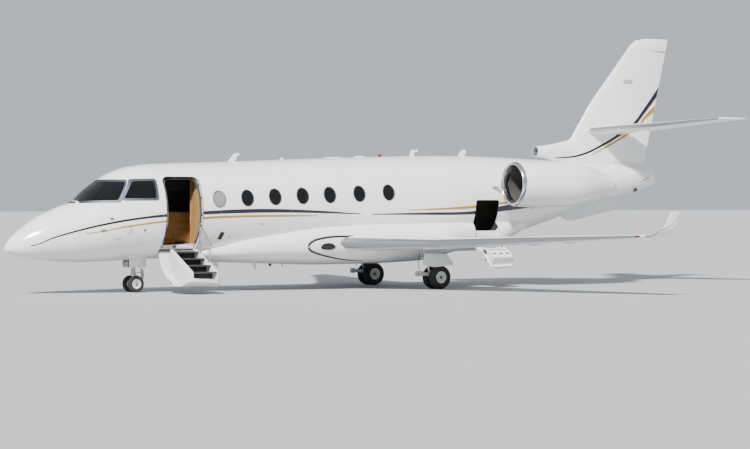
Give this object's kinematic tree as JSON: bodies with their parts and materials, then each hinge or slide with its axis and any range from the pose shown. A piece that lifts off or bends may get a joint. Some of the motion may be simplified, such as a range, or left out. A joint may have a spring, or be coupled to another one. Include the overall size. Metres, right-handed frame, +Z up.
{
  "type": "business jet",
  "caption": "Twin-engined business jet on its landing gear, with a fold-down airstair door, a baggage door, turning wheels and fans, and hinged flight controls.",
  "frame": {"origin": "on the ground, under the middle of the aircraft's box", "axes": "+X aft along the centreline, +Y to starboard, +Z up"},
  "size_m": [18.97, 17.6942, 6.529],
  "materials": {
    "white_paint": "gloss white enamel",
    "polished_metal": "polished",
    "dark_metal": "heat stained",
    "fan_metal": "satin titanium",
    "tinted_glass": "tinted, polished",
    "carpet": "short pile",
    "veneer": "gloss varnish",
    "panel_plastic": "matte black",
    "seat_leather": "smooth hide",
    "gear_steel": "painted silver grey and bright chrome",
    "wheel_alloy": "satin",
    "tyre_rubber": "matte rubber",
    "stair_metal": "dark grip treads in painted side plates"
  },
  "bodies": {
    "airframe": {"radome": "white_paint", "forward_fuselage": "white_paint", "cabin_fuselage": "white_paint", "aft_fuselage": "white_paint", "tail_cone": "white_paint", "belly_fairing": "white_paint", "wing_port": "white_paint", "wing_starboard": "white_paint", "winglet_port": "white_paint", "winglet_starboard": "white_paint", "fin": "white_paint", "tailplane": "white_paint", "strake_port": "white_paint", "strake_starboard": "white_paint", "pylon_port": "white_paint", "pylon_starboard": "white_paint", "nacelle_port": "white_paint", "nacelle_starboard": "white_paint", "intake_lip_port": "polished_metal", "intake_lip_starboard": "polished_metal", "engine_core_port": "dark_metal", "engine_core_starboard": "dark_metal", "windshield_port": "tinted_glass", "windshield_starboard": "tinted_glass", "cockpit_window_port": "tinted_glass", "cockpit_window_starboard": "tinted_glass", "cabin_windows_port": "tinted_glass", "cabin_windows_starboard": "tinted_glass", "cabin_floor": "carpet", "galley_cabinet": "veneer", "instrument_panel": "panel_plastic", "crew_seat_port": "seat_leather", "crew_seat_starboard": "seat_leather", "nose_gear_leg": "gear_steel", "nose_gear_door_port": "white_paint", "nose_gear_door_starboard": "white_paint", "main_gear_leg_port": "gear_steel", "main_gear_leg_starboard": "gear_steel", "main_gear_door_port": "white_paint", "main_gear_door_starboard": "white_paint"},
    "airstair": {"entry_door": "white_paint", "entry_stair": "stair_metal"},
    "baggage_hatch": {"baggage_door": "white_paint"},
    "nose_steering": {"nose_gear_fork": "gear_steel"},
    "nose_wheels": {"nose_wheel_rims": "wheel_alloy", "nose_tyre_port": "tyre_rubber", "nose_tyre_starboard": "tyre_rubber"},
    "main_wheels_port": {"main_wheel_rims_port": "wheel_alloy", "main_tyre_port_inner": "tyre_rubber", "main_tyre_port_outer": "tyre_rubber"},
    "main_wheels_starboard": {"main_wheel_rims_starboard": "wheel_alloy", "main_tyre_starboard_inner": "tyre_rubber", "main_tyre_starboard_outer": "tyre_rubber"},
    "rotor_port": {"fan_port": "fan_metal"},
    "rotor_starboard": {"fan_starboard": "fan_metal"},
    "rudder_panel": {"rudder": "white_paint"},
    "elevator_panel_port": {"elevator_port": "white_paint"},
    "elevator_panel_starboard": {"elevator_starboard": "white_paint"},
    "aileron_panel_port": {"aileron_port": "white_paint"},
    "aileron_panel_starboard": {"aileron_starboard": "white_paint"}
  },
  "joints": [
    {"name": "airstair_hinge", "type": "hinge", "parent": "airframe", "child": "airstair", "pos_m": [-5.41, -0.6, 0.982], "axis": [-1, 0, 0], "range_deg": [0, 106]},
    {"name": "baggage_hinge", "type": "hinge", "parent": "airframe", "child": "baggage_hatch", "pos_m": [3.015, -1.02, 1.15], "axis": [-1, 0, 0], "range_deg": [0, 122]},
    {"name": "nose_steer", "type": "hinge", "parent": "airframe", "child": "nose_steering", "pos_m": [-6.245, 0, 0.48], "axis": [0, 0, 1], "range_deg": [-60, 60]},
    {"name": "nose_wheel_spin", "type": "hinge", "parent": "nose_steering", "child": "nose_wheels", "pos_m": [-6.245, 0, 0.203], "axis": [0, 1, 0], "continuous": true},
    {"name": "main_wheel_spin_port", "type": "hinge", "parent": "airframe", "child": "main_wheels_port", "pos_m": [1.195, -1.65, 0.292], "axis": [0, 1, 0], "continuous": true},
    {"name": "main_wheel_spin_starboard", "type": "hinge", "parent": "airframe", "child": "main_wheels_starboard", "pos_m": [1.195, 1.65, 0.292], "axis": [0, 1, 0], "continuous": true},
    {"name": "fan_spin_port", "type": "hinge", "parent": "airframe", "child": "rotor_port", "pos_m": [3.92, -1.95, 2.6], "axis": [1, 0, 0], "continuous": true},
    {"name": "fan_spin_starboard", "type": "hinge", "parent": "airframe", "child": "rotor_starboard", "pos_m": [3.92, 1.95, 2.6], "axis": [1, 0, 0], "continuous": true},
    {"name": "rudder_hinge", "type": "hinge", "parent": "airframe", "child": "rudder_panel", "pos_m": [7.65, 0, 3.206], "axis": [0.395, 0, 0.9187], "range_deg": [-25, 25]},
    {"name": "elevator_hinge_port", "type": "hinge", "parent": "airframe", "child": "elevator_panel_port", "pos_m": [8.11514, -0.246, 4.05113], "axis": [-0.3285, 0.9417, -0.0735], "range_deg": [-20, 20]},
    {"name": "elevator_hinge_starboard", "type": "hinge", "parent": "airframe", "child": "elevator_panel_starboard", "pos_m": [8.11514, 0.246, 4.05113], "axis": [0.3285, 0.9417, 0.0735], "range_deg": [-20, 20]},
    {"name": "aileron_hinge_port", "type": "hinge", "parent": "airframe", "child": "aileron_panel_port", "pos_m": [2.41899, -5.956, 1.28123], "axis": [-0.2643, 0.9638, -0.0362], "range_deg": [-20, 20]},
    {"name": "aileron_hinge_starboard", "type": "hinge", "parent": "airframe", "child": "aileron_panel_starboard", "pos_m": [2.41899, 5.956, 1.28123], "axis": [0.2643, 0.9638, 0.0362], "range_deg": [-20, 20]}
  ],
  "couplings": [
    {"joint": "elevator_hinge_starboard", "follows": "elevator_hinge_port", "ratio": 1},
    {"joint": "aileron_hinge_starboard", "follows": "aileron_hinge_port", "ratio": -1}
  ]
}
